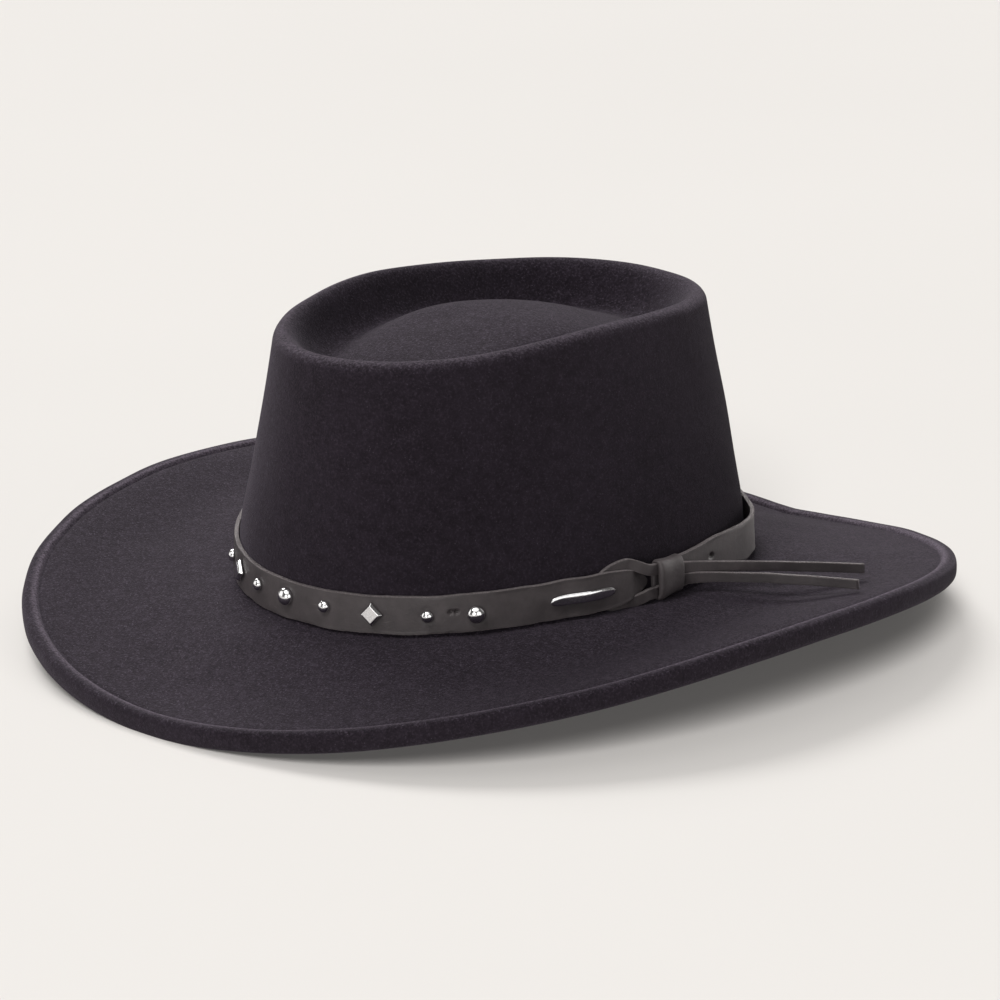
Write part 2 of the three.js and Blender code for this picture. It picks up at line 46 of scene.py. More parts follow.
# Felt
FELT = 2.8 * MM
FOOT_HALF_LENGTH = 100 * MM
FOOT_HALF_WIDTH = 87.7 * MM
FOOT_SQUARENESS = 2.03
BELT_INSET = 0.6 * MM
TIP_INSET_LENGTH = 6.6 * MM
TIP_INSET_WIDTH = 24 * MM
TIP_FORWARD = 0.7 * MM
TIP_SQUARENESS = 2.1
CROWN_HEIGHT_FRONT = 97.4 * MM
CROWN_HEIGHT_SIDE = 95.3 * MM
CROWN_HEIGHT_BACK = 94.4 * MM
CREST_ROUND = 5 * MM
CREST_TURN = math.radians(78)
GROOVE_DEPTH = 15 * MM
DOME_LEAN = 10 * MM
BREAK_ROUND = 1.5 * MM
BRIM_OUT_LENGTH = 77.1 * MM
BRIM_OUT_WIDTH = 73.9 * MM
BRIM_SQUARENESS = 2.18
FOOT_Z_FRONT = 22.5 * MM
FOOT_Z_SIDE = 30.5 * MM
FOOT_Z_BACK = 26.7 * MM
EDGE_RISE = 29.4 * MM
EDGE_CLIMB_FRONT = 1.65
EDGE_CLIMB_BACK = 1.37
REST_FLATTENED = 0.8 * MM
SIDE_SAG = 3.5 * MM
WELT_WIDTH = 6.2 * MM
WELT_HEIGHT = 8.1 * MM
WELT_RAISE = 1.2 * MM
WELT_SQUARENESS = 3

# Band, knot and tails
LEATHER = 1.7 * MM
BAND_WIDTH = 14 * MM
SEAT_GAP = 0.3 * MM
BAND_ABOVE_FOOT = 1.5 * MM
BELT_HEIGHT = BAND_ABOVE_FOOT + BAND_WIDTH + 1 * MM
KEEPER_AT = 142.8 * MM
KEEPER_LENGTH = 11 * MM
KEEPER_HEIGHT = 15 * MM
KNOT_DROP = 0.8 * MM
KEEPER_DEPTH = 7 * MM
KEEPER_WALL = 1.3 * MM
KEEPER_SQUARENESS = 3
CORD_WIDTH = 4.2 * MM
CORD_THICKNESS = 1.6 * MM
LOOP_LENGTH = 26 * MM
LOOP_OVER = 2.3 * MM
LOOP_CROSSED = 0.5
LOOP_SETTLED = 0.8
BAND_CLIMB = 12 * MM
BAND_CLIMBED = 0.9
REAR_END = KEEPER_AT + KEEPER_LENGTH / 2 + SEAT_GAP
REAR_TAPER = 2 * MM
REAR_TAPER_LENGTH = 30 * MM
TONGUE_SHARE = 0.9
TONGUE_BLUNTNESS = 2.2
TAIL_OVER_BRIM = 1 * MM
TAIL_NARROWED = 0.86  # width of a tail's end as a share of the cord's
# Reach along the band, swing away from it, how late it swings, and droop
UPPER_TAIL = (64 * MM, 34.3 * MM, 1.4, 7.3 * MM)
LOWER_TAIL = (42 * MM, 49.5 * MM, 1.62, 0.7 * MM)

# Metal trim: kind, place along the band in pitches, height above its middle in band widths
STUD_PITCH = 18.2 * MM
STUDS = [
    ("small", -3.16, -0.03),
    ("diamond", -2.26, 0),
    ("small", -1.27, 0.043),
    ("large", -0.31, 0.071),
    ("small", 0.69, 0.064),
    ("diamond", 1.73, 0.014),
    ("small", 2.83, -0.021),
    ("large", 3.76, -0.043),
]
STUD_RADIUS = {"small": 2.3 * MM, "large": 3.3 * MM}
STUD_DOME = 0.78
STUD_RIM = 0.4 * MM
DIAMOND_HALF = 4.3 * MM
DIAMOND_HEIGHT = 1.8 * MM
DIAMOND_BEVEL = 0.9 * MM
BAR_AT = 106.6 * MM
BAR_LENGTH = 24 * MM
BAR_WIDTH = 4 * MM
BAR_THICKNESS = 1.3 * MM

# Fineness of the meshes: points round each piece, and rings along its parts
FELT_SIDES = 384
TIP_MIDDLE_RINGS = 12
TIP_GROOVE_RINGS = 24
CREST_RINGS = 8
WALL_RINGS = 39
BREAK_RINGS = 5
BRIM_RINGS = 39
BRIM_END_RINGS = 8
WELT_RINGS = 32
CORNER_POINTS = 4
BAND_ACROSS = 26
CORD_ACROSS = 9
RULER_MARKS = 1441
BAND_STATION = 0.55 * MM
TONGUE_STATIONS = 40
LOOP_STATIONS = 61
KEEPER_STATIONS = 13
TAIL_STATIONS = 80
KEEPER_SIDES = 64
KEEPER_OUTER_RINGS = 26
KEEPER_FRONT_RINGS = 7
KEEPER_BACK_RINGS = 7
STUD_SIDES = 48
STUD_RINGS = 20
DIAMOND_SIDES = 96
BAR_SIDES = 28
BAR_STATIONS = 41


def smooth(share):
    share = np.clip(share, 0, 1)
    return share * share * (3 - 2 * share)


def lerp(a, b, share):
    return a + (b - a) * share


def bump_at(x, middle, width):
    """1 at the middle, falling to nothing over a few widths."""
    return np.exp(-(((x - middle) / width) ** 2))


def steps(start, end, count):
    """Even steps to the end, without the start."""
    return np.linspace(start, end, count + 1)[1:]


def unit(vectors):
    return vectors / np.linalg.norm(vectors, axis=-1, keepdims=True)


def through(places, xs, ys):
    """A smooth curve through the points (xs, ys)."""
    xs, ys = np.array(xs, float), np.array(ys, float)
    slopes = np.gradient(ys, xs)
    i = np.clip(np.searchsorted(xs, places) - 1, 0, len(xs) - 2)
    width = xs[i + 1] - xs[i]
    t = (places - xs[i]) / width
    return (
        ys[i] * (1 + 2 * t) * (1 - t) ** 2
        + ys[i + 1] * t**2 * (3 - 2 * t)
        + slopes[i] * width * t * (1 - t) ** 2
        - slopes[i + 1] * width * t**2 * (1 - t)
    )


def turns_round(sides):
    return np.arange(sides) * TURN / sides


def squared(turn, power):
    """The two coordinates of an outline of unit reach: a circle at power 2, squarer above it."""
    cos, sin = np.cos(turn), np.sin(turn)
    reach = (np.abs(cos) ** power + np.abs(sin) ** power) ** (-1 / power)
    return reach * cos, reach * sin


def around(angle, front, side, back):
    cos = np.cos(angle)
    return lerp(side, np.where(cos > 0, front, back), cos**2)


# Ovals seen from above: front, back and side half lengths, squareness, and how far forward
def oval(front, back, side, square, forward=0.0):
    return np.array([front, back, side, square, forward])


def grown(base, by):
    return base + np.array([1, 1, 1, 0, 0]) * np.asarray(by)[..., None]


def mixed(a, b, share):
    return lerp(a, b, np.asarray(share)[..., None])


FOOT = oval(FOOT_HALF_LENGTH, FOOT_HALF_LENGTH, FOOT_HALF_WIDTH, FOOT_SQUARENESS)
BELT = grown(FOOT, -BELT_INSET)
SHOULDER = oval(
    BELT[0] - TIP_INSET_LENGTH - TIP_FORWARD,
    BELT[1] - TIP_INSET_LENGTH + TIP_FORWARD,
    BELT[2] - TIP_INSET_WIDTH,
    TIP_SQUARENESS,
    TIP_FORWARD,
)
CREST = grown(SHOULDER, -CREST_ROUND * math.sin(CREST_TURN))
EDGE = oval(
    FOOT_HALF_LENGTH + BRIM_OUT_LENGTH,
    FOOT_HALF_LENGTH + BRIM_OUT_LENGTH,
    FOOT_HALF_WIDTH + BRIM_OUT_WIDTH,
    BRIM_SQUARENESS,
)
BRIM_INNER = grown(FOOT, BREAK_ROUND)
BRIM_OUTER = grown(EDGE, -WELT_WIDTH)
SHOULDER_DROP = CREST_ROUND * (1 - math.cos(CREST_TURN))


def oval_point(base, angle, z, share=1.0):
    cos, sin = np.cos(angle), np.sin(angle)
    along = np.abs(cos) / np.where(cos > 0, base[..., 0], base[..., 1])
    across = np.abs(sin) / base[..., 2]
    square = base[..., 3]
    reach = share * (along**square + across**square) ** (-1 / square)
    x, y, z = np.broadcast_arrays(reach * sin, -reach * cos - base[..., 4], z)
    return np.stack([x, y, z], axis=-1)


def foot_z(angle):
    return around(angle, FOOT_Z_FRONT, FOOT_Z_SIDE, FOOT_Z_BACK)


def crest_z(angle):
    height = around(angle, CROWN_HEIGHT_FRONT, CROWN_HEIGHT_SIDE, CROWN_HEIGHT_BACK)
    return foot_z(angle) + height


def edge_z(angle):
    """Height of the underside of the brim's edge."""
    climb = lerp(EDGE_CLIMB_FRONT, EDGE_CLIMB_BACK, (1 - np.cos(angle)) / 2)
    return EDGE_RISE * np.abs(np.sin(angle)) ** climb - REST_FLATTENED


# The crown's top: share of the way out to the crest, and depth below it in groove depths
TIP_ROWS = [
    (0, 0.4),
    (0.2, 0.41),
    (0.38, 0.46),
    (0.53, 0.58),
    (0.64, 0.75),
    (0.72, 0.91),
    (0.78, 1),
    (0.84, 0.93),
    (0.89, 0.68),
    (0.93, 0.36),
    (0.966, 0.11),
    (1, 0),
]
MIDDLE_SINK = 0.4
DOME_REACH = 0.625  # share of the way out at which the dome's lean has faded


def dome_z(y):
    return crest_z(QUARTER) - MIDDLE_SINK * GROOVE_DEPTH + DOME_LEAN * y / (2 * CREST[2])


def tip_point(angle, out):
    point = oval_point(CREST, angle, 0.0, out)
    sink = through(out, *zip(*TIP_ROWS))
    own = crest_z(angle) - sink * GROOVE_DEPTH
    point[..., 2] = lerp(dome_z(point[..., 1]), own, smooth(out / DOME_REACH))
    return point


def crest_point(angle, turn):
    base = grown(CREST, CREST_ROUND * np.sin(turn))
    return oval_point(base, angle, crest_z(angle) - CREST_ROUND * (1 - np.cos(turn)))


LEAN_SOFTNESS = 2 * MM  # the wall bends over this length above the band


def wall_point(angle, down):
    top, foot = crest_z(angle) - SHOULDER_DROP, foot_z(angle)
    height = lerp(top - foot, BREAK_ROUND, down)
    over = (height - BELT_HEIGHT) / LEAN_SOFTNESS
    bent = LEAN_SOFTNESS * np.logaddexp(0, over)
    lean = np.clip(bent / (top - foot - BELT_HEIGHT), 0, 1)
    below = np.clip((BELT_HEIGHT - height) / (BELT_HEIGHT - BREAK_ROUND), 0, 1)
    base = lerp(mixed(BELT, SHOULDER, lean), FOOT, below[..., None])
    return oval_point(base, angle, foot + height)


def break_point(angle, turn):
    base = grown(FOOT, BREAK_ROUND * (1 - np.cos(turn)))
    return oval_point(base, angle, foot_z(angle) + BREAK_ROUND * (1 - np.sin(turn)))


WELT_CREASE = 0.3 * MM  # depth of the crease at the inner foot of the folded edge
WELT_CREASE_WIDTH = 0.016  # as a share of the brim's width


def brim_point(angle, share):
    slope = (share + smooth(share)) / 2
    sag = SIDE_SAG * np.sin(angle) ** 2 * np.sin(math.pi * share) ** 2
    rim = edge_z(angle) + WELT_HEIGHT - WELT_RAISE
    z = lerp(foot_z(angle), rim, slope) - sag
    return oval_point(mixed(BRIM_INNER, BRIM_OUTER, share), angle, z)


def welt_point(angle, turn):
    outward, up = squared(turn, WELT_SQUARENESS)
    out = WELT_WIDTH / 2 * (outward - 1)
    z = edge_z(angle) + WELT_HEIGHT / 2 * (1 + up)
    return oval_point(grown(EDGE, out), angle, z)


def on_floor(points):
    points[..., 2] = np.maximum(points[..., 2], 0)
    return points


class Ripple:
    """A slow unevenness, as hand-blocked felt and hand-cut leather have."""

    def __init__(self, seed, waves, shortest, longest, height):
        random = np.random.default_rng(seed)
        lengths = np.exp(random.uniform(math.log(shortest), math.log(longest), waves))
        self.ways = unit(random.normal(size=(waves, 3))) * (TURN / lengths)[:, None]
        self.starts = random.uniform(0, TURN, waves)
        self.heights = height * (lengths / longest) * math.sqrt(2 / waves)

    def __call__(self, points):
        return np.sin(points @ self.ways.T + self.starts) @ self.heights


def grid_normals(points):
    """Normals of a grid of rings that each close on themselves."""
    down = np.gradient(points, axis=0)
    along = np.roll(points, -1, axis=1) - np.roll(points, 1, axis=1)
    return unit(np.cross(down, along))


def ring_faces(rings, sides, closed=False):
    """Faces between rings; each ring closes on itself, and the last meets the first if closed."""
    spans = rings if closed else rings - 1
    a = np.arange(spans)[:, None] * sides
    b = (np.arange(spans)[:, None] + 1) % rings * sides
    i = np.arange(sides)[None, :]
    j = (i + 1) % sides
    return np.stack([a + i, b + i, b + j, a + j], axis=-1).reshape(-1, 4)


def capped(rings, ends=None):
    """Points and faces of a skin over rings, closed by fans to two end points or ring middles."""
    count, sides = rings.shape[:2]
    ends = rings[[0, -1]].mean(axis=1) if ends is None else ends
    points = np.concatenate([rings.reshape(-1, 3), ends])
    faces = ring_faces(count, sides).tolist()
    start, end = count * sides, count * sides + 1
    last = (count - 1) * sides
    pairs = [(i, (i + 1) % sides) for i in range(sides)]
    faces += [[start, i, j] for i, j in pairs]
    faces += [[end, last + j, last + i] for i, j in pairs]
    return points, faces


def new_piece(name, points, faces, materials, slots=None):
    mesh = bpy.data.meshes.new(name)
    mesh.from_pydata(np.asarray(points).reshape(-1, 3).tolist(), [], [list(f) for f in faces])
    for material in materials:
        mesh.materials.append(material)
    if slots is not None:
        mesh.polygons.foreach_set("material_index", np.asarray(slots, np.int32))
    mesh.polygons.foreach_set("use_smooth", np.full(len(mesh.polygons), True))
    mesh.update()
    piece = bpy.data.objects.new(name, mesh)
    bpy.context.scene.collection.objects.link(piece)
    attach(piece, "root")
    return piece


def strap(name, sections, edge):
    """A leather strap over a list of sections, with 1 in `edge` for the points of its cut edges."""
    count, sides = sections.shape[:2]
    edge_faces = np.minimum(edge, np.roll(edge, -1))
    slots = np.append(np.tile(edge_faces, count - 1), np.ones(2 * sides, int))
    return new_piece(name, *capped(sections), [LEATHER_LOOK, CUT_EDGE_LOOK], slots)


# Materials
class Nodes:
    """Builds one material's nodes, a call for each."""

    def __init__(self, name):
        self.material = bpy.data.materials.new(name)
        self.material.use_nodes = True
        self.tree = self.material.node_tree
        self.shader = self.tree.nodes["Principled BSDF"]
        self.place = self.add("ShaderNodeTexCoord").outputs["Object"]

    def add(self, kind, inputs=None, **settings):
        node = self.tree.nodes.new(kind)
        for key, value in settings.items():
            setattr(node, key, value)
        for key, value in (inputs or {}).items():
            self.feed(node.inputs[key], value)
        return node

    def feed(self, socket, value):
        if isinstance(value, bpy.types.NodeSocket):
            self.tree.links.new(value, socket)
        else:
            socket.default_value = value

    def set(self, **values):
        for key, value in values.items():
            self.feed(self.shader.inputs[key.replace("_", " ")], value)

    def stretched(self, x, y, z):
        return self.add("ShaderNodeMapping", {"Vector": self.place, "Scale": (x, y, z)}).outputs[0]

    def noise(self, size, detail, roughness=0.55, place=None, distortion=0.0):
        """Noise whose grains are about `size` metres across."""
        inputs = {
            "Vector": place or self.place,
            "Scale": 1 / size,
            "Detail": detail,
            "Roughness": roughness,
            "Distortion": distortion,
        }
        return self.add("ShaderNodeTexNoise", inputs).outputs["Fac"]

    def cells(self, size, feature="F1"):
        inputs = {"Vector": self.place, "Scale": 1 / size}
        return self.add("ShaderNodeTexVoronoi", inputs, feature=feature).outputs["Distance"]

    def span(self, value, low, high, to_low=0.0, to_high=1.0):
        inputs = {
            "Value": value,
            "From Min": low,
            "From Max": high,
            "To Min": to_low,
            "To Max": to_high,
        }
        return self.add("ShaderNodeMapRange", inputs).outputs["Result"]

    def math(self, operation, a, b):
        node = self.add("ShaderNodeMath", operation=operation)
        self.feed(node.inputs[0], a)
        self.feed(node.inputs[1], b)
        return node.outputs[0]

    def mix(self, share, a, b):
        node = self.add("ShaderNodeMix", data_type="RGBA")
        self.feed(node.inputs["Factor"], share)
        self.feed(node.inputs["A"], a)
        self.feed(node.inputs["B"], b)
        return node.outputs["Result"]

    def bump(self, height, depth, strength, onto=None):
        inputs = {"Height": height, "Distance": depth, "Strength": strength}
        if onto is not None:
            inputs["Normal"] = onto
        return self.add("ShaderNodeBump", inputs).outputs["Normal"]


def rgb(red, green, blue):
    """A display colour, 0 to 255, as the shader's linear colour."""
    parts = [c / 255 for c in (red, green, blue)]
    return tuple(((c + 0.055) / 1.055) ** 2.4 if c > 0.04 else c / 12.92 for c in parts) + (1.0,)


WOOL_DARK = rgb(31, 26, 32)
WOOL_PALE = rgb(43, 37, 45)
WOOL_LIGHT_GRAIN = rgb(92, 83, 96)
WOOL_DARK_GRAIN = rgb(13, 10, 13)
WOOL_MOTTLE_AND_TOP_LIGHT = rgb(66, 59, 69)
WOOL_SPECK = rgb(108, 100, 112)
# Painted highlight colour for the lit ridge lines of the crest and the welt
WOOL_RIDGE_HIGHLIGHT = rgb(112, 103, 115)
LEATHER_DARK = rgb(72, 67, 69)
LEATHER_PALE = rgb(88, 82, 84)
LEATHER_BLOTCH = rgb(60, 56, 57)
LEATHER_SCRATCH = rgb(122, 116, 116)
CUT_DARK = rgb(82, 77, 78)
CUT_PALE = rgb(122, 115, 117)
CUT_WORN = rgb(84, 79, 81)
METAL_CLEAR = rgb(226, 226, 228)
METAL_HAZED = rgb(206, 205, 206)
FLOOR_DARK = rgb(204, 202, 200)
FLOOR_PALE = rgb(206, 204, 202)


def felt_material():
    n = Nodes("wool_felt")
    normal = n.add("ShaderNodeNewGeometry").outputs["Normal"]
    # Painted top light: the grain, mottle and specks below are made stronger on surfaces that face
    # up, standing in for light falling from above
    top_lit = n.span(n.add("ShaderNodeSeparateXYZ", {"Vector": normal}).outputs["Z"], 0.3, 0.9)
    ridge_highlight = n.add("ShaderNodeAttribute", attribute_name="ridge_highlight").outputs["Fac"]
    clouds = n.noise(45 * MM, detail=2.0)
    tufts = n.noise(4 * MM, detail=6.0, roughness=0.7)
    grain = n.noise(0.9 * MM, detail=5.0, roughness=0.75)
    fuzz = n.noise(0.35 * MM, detail=2.0, roughness=0.8)
    shade = n.math("ADD", n.math("MULTIPLY", clouds, 0.3), n.math("MULTIPLY", tufts, 0.7))
    colour = n.mix(n.span(shade, 0.36, 0.64), WOOL_DARK, WOOL_PALE)
    top_lit_contrast = n.span(top_lit, 0.0, 1.0, 0.35, 1.0)
    light = n.math("MULTIPLY", n.span(grain, 0.52, 0.68), top_lit_contrast)
    dark = n.math("MULTIPLY", n.span(grain, 0.48, 0.34), top_lit_contrast)
    colour = n.mix(n.math("MULTIPLY", light, 0.75), colour, WOOL_LIGHT_GRAIN)
    colour = n.mix(n.math("MULTIPLY", dark, 0.75), colour, WOOL_DARK_GRAIN)
    # Painted top light: the lighter mottle is real patchy tone, laid only on surfaces that face up
    mottle_and_top_light = n.math("MULTIPLY", n.span(n.noise(2.6 * MM, detail=3.0), 0.5, 0.72), top_lit)
    colour = n.mix(n.math("MULTIPLY", mottle_and_top_light, 0.5), colour, WOOL_MOTTLE_AND_TOP_LIGHT)
    speck = n.span(n.cells(1.3 * MM), 0.18, 0.08)
    rare = n.span(n.noise(2.4 * MM, detail=1.0), 0.55, 0.62)
    # The light specks are real fibres, painted stronger on surfaces that face up
    specks_and_top_light = n.math("MULTIPLY", n.math("MULTIPLY", speck, rare), top_lit_contrast)
    colour = n.mix(specks_and_top_light, colour, WOOL_SPECK)
    # Painted highlight: the crest's and the welt's ridge lines are lightened, as where light
    # catches them, broken up by the grain
    painted_ridge_light = n.math("MULTIPLY", ridge_highlight, n.span(grain, 0.38, 0.6, 0.1, 1.0))
    colour = n.mix(painted_ridge_light, colour, WOOL_RIDGE_HIGHLIGHT)
    n.set(Base_Color=colour, Roughness=0.95, Specular_IOR_Level=0.1)
    n.set(Sheen_Weight=0.11, Sheen_Roughness=0.5, Sheen_Tint=(0.76, 0.67, 0.82, 1.0))
    soft = n.bump(tufts, 0.45 * MM, 0.5)
    rough = n.bump(grain, 0.4 * MM, 0.7, onto=soft)
    n.set(Normal=n.bump(fuzz, 0.16 * MM, 0.6, onto=rough))
    return n.material


def leather_material():
    n = Nodes("charcoal_leather")
    wear = n.noise(14 * MM, detail=4.0)
    pores = n.cells(0.75 * MM, feature="SMOOTH_F1")
    blotch = n.noise(3 * MM, detail=4.0, roughness=0.6)
    colour = n.mix(n.span(wear, 0.35, 0.65), LEATHER_DARK, LEATHER_PALE)
    colour = n.mix(n.span(blotch, 0.3, 0.75, 0.0, 0.35), colour, LEATHER_BLOTCH)
    scratch = n.noise(1.3 * MM, detail=2.0, place=n.stretched(0.12, 0.12, 1.0), distortion=0.6)
    marks = n.span(scratch, 0.7, 0.76)
    colour = n.mix(n.math("MULTIPLY", marks, 0.4), colour, LEATHER_SCRATCH)
    n.set(Base_Color=colour, Specular_IOR_Level=0.42)
    n.set(Roughness=n.span(wear, 0.3, 0.7, 0.42, 0.56))
    grain = n.bump(pores, 0.07 * MM, 0.5)
    creases = n.bump(blotch, 0.22 * MM, 0.5, onto=grain)
    n.set(Normal=n.bump(scratch, 0.05 * MM, 0.4, onto=creases))
    return n.material


def cut_edge_material():
    n = Nodes("leather_cut_edge")
    fibre = n.noise(0.7 * MM, detail=4.0, roughness=0.7)
    long_wear = n.noise(9 * MM, detail=3.0)
    colour = n.mix(n.span(fibre, 0.35, 0.65), CUT_DARK, CUT_PALE)
    colour = n.mix(n.span(long_wear, 0.4, 0.7, 0.0, 0.4), colour, CUT_WORN)
    n.set(Base_Color=colour, Roughness=0.72, Specular_IOR_Level=0.3)
    n.set(Normal=n.bump(fibre, 0.16 * MM, 0.7))
    return n.material


def metal_material():
    n = Nodes("polished_nickel")
    dents = n.noise(1.7 * MM, detail=2.0)
    haze = n.noise(0.5 * MM, detail=4.0, roughness=0.7)
    colour = n.mix(n.span(haze, 0.35, 0.7), METAL_CLEAR, METAL_HAZED)
    n.set(Base_Color=colour, Metallic=1.0, Roughness=n.span(haze, 0.3, 0.7, 0.07, 0.17))
    n.set(Normal=n.bump(dents, 0.06 * MM, 0.35))
    return n.material


def floor_material():
    n = Nodes("pale_floor")
    patches = n.noise(0.6, detail=2.0)
    colour = n.mix(n.span(patches, 0.3, 0.7), FLOOR_DARK, FLOOR_PALE)
    n.set(Base_Color=colour, Roughness=0.8, Specular_IOR_Level=0.1)
    n.set(Emission_Color=(1.0, 0.965, 0.93, 1.0), Emission_Strength=0.08)
    return n.material


FELT_LOOK = felt_material()
LEATHER_LOOK = leather_material()
CUT_EDGE_LOOK = cut_edge_material()
METAL_LOOK = metal_material()


# Felt
TIP_FIRST = 0.015  # share of the way out to the crest of the first ring
GROOVE_FROM = 0.6  # and of the first of the closer rings over the groove
BRIM_END_FROM = 0.93  # share of the brim's width from which its rings lie closer
WELT_INNER = 140  # degrees: where the welt meets the brim, above and below


def felt_rings(angle):
    """The upper surface, from the middle of the top to the welt, a row for each ring."""
    spread = np.linspace(TIP_FIRST, GROOVE_FROM, TIP_MIDDLE_RINGS, endpoint=False)
    tip = np.concatenate([spread, np.linspace(GROOVE_FROM, 1, TIP_GROOVE_RINGS)])
    crest = steps(0, CREST_TURN, CREST_RINGS)
    wall = steps(0, 1, WALL_RINGS)
    bend = steps(0, QUARTER, BREAK_RINGS)
    brim = np.append(steps(0, BRIM_END_FROM, BRIM_RINGS), steps(BRIM_END_FROM, 1, BRIM_END_RINGS))
    rows = [tip_point(angle, np.full_like(angle, out)) for out in tip]
    rows += [crest_point(angle, turn) for turn in crest]
    rows += [wall_point(angle, np.full_like(angle, down)) for down in wall]
    rows += [break_point(angle, turn) for turn in bend]
    rows += [brim_point(angle, np.full_like(angle, share)) for share in brim]
    return np.array(rows), brim


FELT_RIPPLE = Ripple(seed=11, waves=40, shortest=22 * MM, longest=110 * MM, height=0.75 * MM)
RIPPLE_FROM, RIPPLE_RISE = 2 * MM, 6 * MM  # height where it starts, and over which it grows
RIPPLE_OUT, RIPPLE_UP = 0.6, 0.5  # shares of the ripple that go outward and up

CREST_RING = TIP_MIDDLE_RINGS + TIP_GROOVE_RINGS  # the first ring past the crest's line
# Painted highlight: the crest's ridge and a band near the top of the welt are lightened, standing
# in for light catching these ridges
HIGHLIT_RINGS = np.arange(CREST_RING - 4, CREST_RING + 7)  # rings round the crest that carry its painted highlight
BRIGHTEST_RING = CREST_RING + 1
HIGHLIGHT_FALLOFF_RINGS = 3  # the painted highlight fades over so many rings
CREST_HIGHLIGHT = 0.4
WELT_HIGHLIGHT_AT, WELT_HIGHLIGHT_WIDTH = 118, 26  # degrees round the welt's section, where its painted highlight lies


def felt_piece():
    angle = turns_round(FELT_SIDES)
    upper, brim = felt_rings(angle)
    welt_turns = np.radians(np.linspace(WELT_INNER, -WELT_INNER, WELT_RINGS))
    welt = np.array([welt_point(angle, turn) for turn in welt_turns])
    lower = (upper - FELT * grid_normals(upper))[::2][::-1]
    crease = WELT_CREASE * bump_at(brim, 1, WELT_CREASE_WIDTH)
    upper[-len(brim):, :, 2] -= crease[:, None]
    rings = np.concatenate([upper, welt, lower])
    wave = FELT_RIPPLE(rings) * np.clip((rings[..., 2] - RIPPLE_FROM) / RIPPLE_RISE, 0, 1)
    rings = rings + unit(rings * np.array([1, 1, 0])) * (wave * RIPPLE_OUT)[..., None]
    rings[..., 2] += wave * RIPPLE_UP
    rings = on_floor(rings)
    top = np.array([0, -TIP_FORWARD, rings[0, :, 2].mean()])
    bottom = top - np.array([0, 0, FELT])
    piece = new_piece("felt_hat", *capped(rings, [top, bottom]), [FELT_LOOK])
    # Painted highlight strength for the crest's and the welt's ridge rings, stored on each point
    painted_ridge_light = np.zeros(len(rings))
    painted_ridge_light[HIGHLIT_RINGS] = CREST_HIGHLIGHT * bump_at(HIGHLIT_RINGS, BRIGHTEST_RING, HIGHLIGHT_FALLOFF_RINGS)
    welt_highlight = bump_at(np.degrees(welt_turns), WELT_HIGHLIGHT_AT, WELT_HIGHLIGHT_WIDTH)
    painted_ridge_light[len(upper):len(upper) + WELT_RINGS] = welt_highlight
    values = np.append(np.repeat(painted_ridge_light, FELT_SIDES), [0, 0])
    ridge_highlight = piece.data.attributes.new("ridge_highlight", "FLOAT", "POINT")
    ridge_highlight.data.foreach_set("value", values.astype(np.float32))
    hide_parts("felt_body")


# The crown's wall as the band sees it
BAND_MIDDLE = BAND_ABOVE_FOOT + BAND_WIDTH / 2
KEEPER_MIDDLE = BAND_MIDDLE - KNOT_DROP
CORD_UNDER = SEAT_GAP
BAND_OVER = CORD_UNDER + CORD_THICKNESS + SEAT_GAP
CORD_IN_KEEPER = SEAT_GAP + (KEEPER_DEPTH - CORD_THICKNESS) / 2
CORD_PRESSED = 0.2 * MM  # the cord's outer edges press into the keeper by this
CORD_APART = (KEEPER_HEIGHT - CORD_WIDTH) / 2 - KEEPER_WALL + CORD_PRESSED
CORD_TOGETHER = (CORD_WIDTH + SEAT_GAP) / 2
LOOP_END = KEEPER_AT - KEEPER_LENGTH / 2 - LOOP_LENGTH


def wall_at(angle, height):
    up = (height - BREAK_ROUND) / (BELT_HEIGHT - BREAK_ROUND)
    return oval_point(mixed(FOOT, BELT, up), angle, foot_z(angle) + height)


RULER_ANGLES = np.linspace(0, TURN, RULER_MARKS)
RULER_STEPS = np.linalg.norm(np.diff(wall_at(RULER_ANGLES, BAND_MIDDLE), axis=0), axis=1)
RULER = np.concatenate([[0], np.cumsum(RULER_STEPS)])
BAND_ROUND = RULER[-1]


def band_frame(along, height=BAND_MIDDLE):
    """Origin on the felt, and the directions forth along the band, up the wall and out of it."""
    angle = np.interp(np.mod(along, BAND_ROUND), RULER, RULER_ANGLES)
    small = 0.01
    origin = wall_at(angle, height)
    forth = unit(wall_at(angle + small, height) - wall_at(angle - small, height))
    rise = wall_at(angle, height + MM) - origin
    out = unit(np.cross(forth, rise))
    return origin, forth, np.cross(out, forth), out


def band_point(along, height, out):
    origin, _, _, away = band_frame(along, height)
    return origin + away * np.asarray(out)[..., None]


def slab(half_width, half_depth, rounding, across):
    """The section of a strap as (sideways, outward) points, and 1 for the points of its edges."""
    inner, deep = half_width - rounding, half_depth - rounding
    turns = np.linspace(0, QUARTER, CORNER_POINTS)
    shares = np.linspace(-1, 1, across)[1:-1]
    corner = np.stack([inner + rounding * np.cos(turns), deep + rounding * np.sin(turns)], axis=-1)
    face = np.stack([shares * inner, np.full_like(shares, half_depth)], axis=-1)
    runs = [
        (corner * (-1, 1), 1),
        (face, 0),
        (corner[::-1], 1),
        (corner * (1, -1), 1),
        (face[::-4] * (1, -1), 0),
        (corner[::-1] * (-1, -1), 1),
    ]
    points = np.concatenate([run for run, _ in runs])
    edge = np.concatenate([np.full(len(run), is_edge) for run, is_edge in runs])
    return points, edge


def closing(share):
    return smooth((share - LOOP_CROSSED) / (1 - LOOP_CROSSED))


def crossing(share):
    return smooth((share - LOOP_CROSSED) / (LOOP_SETTLED - LOOP_CROSSED))


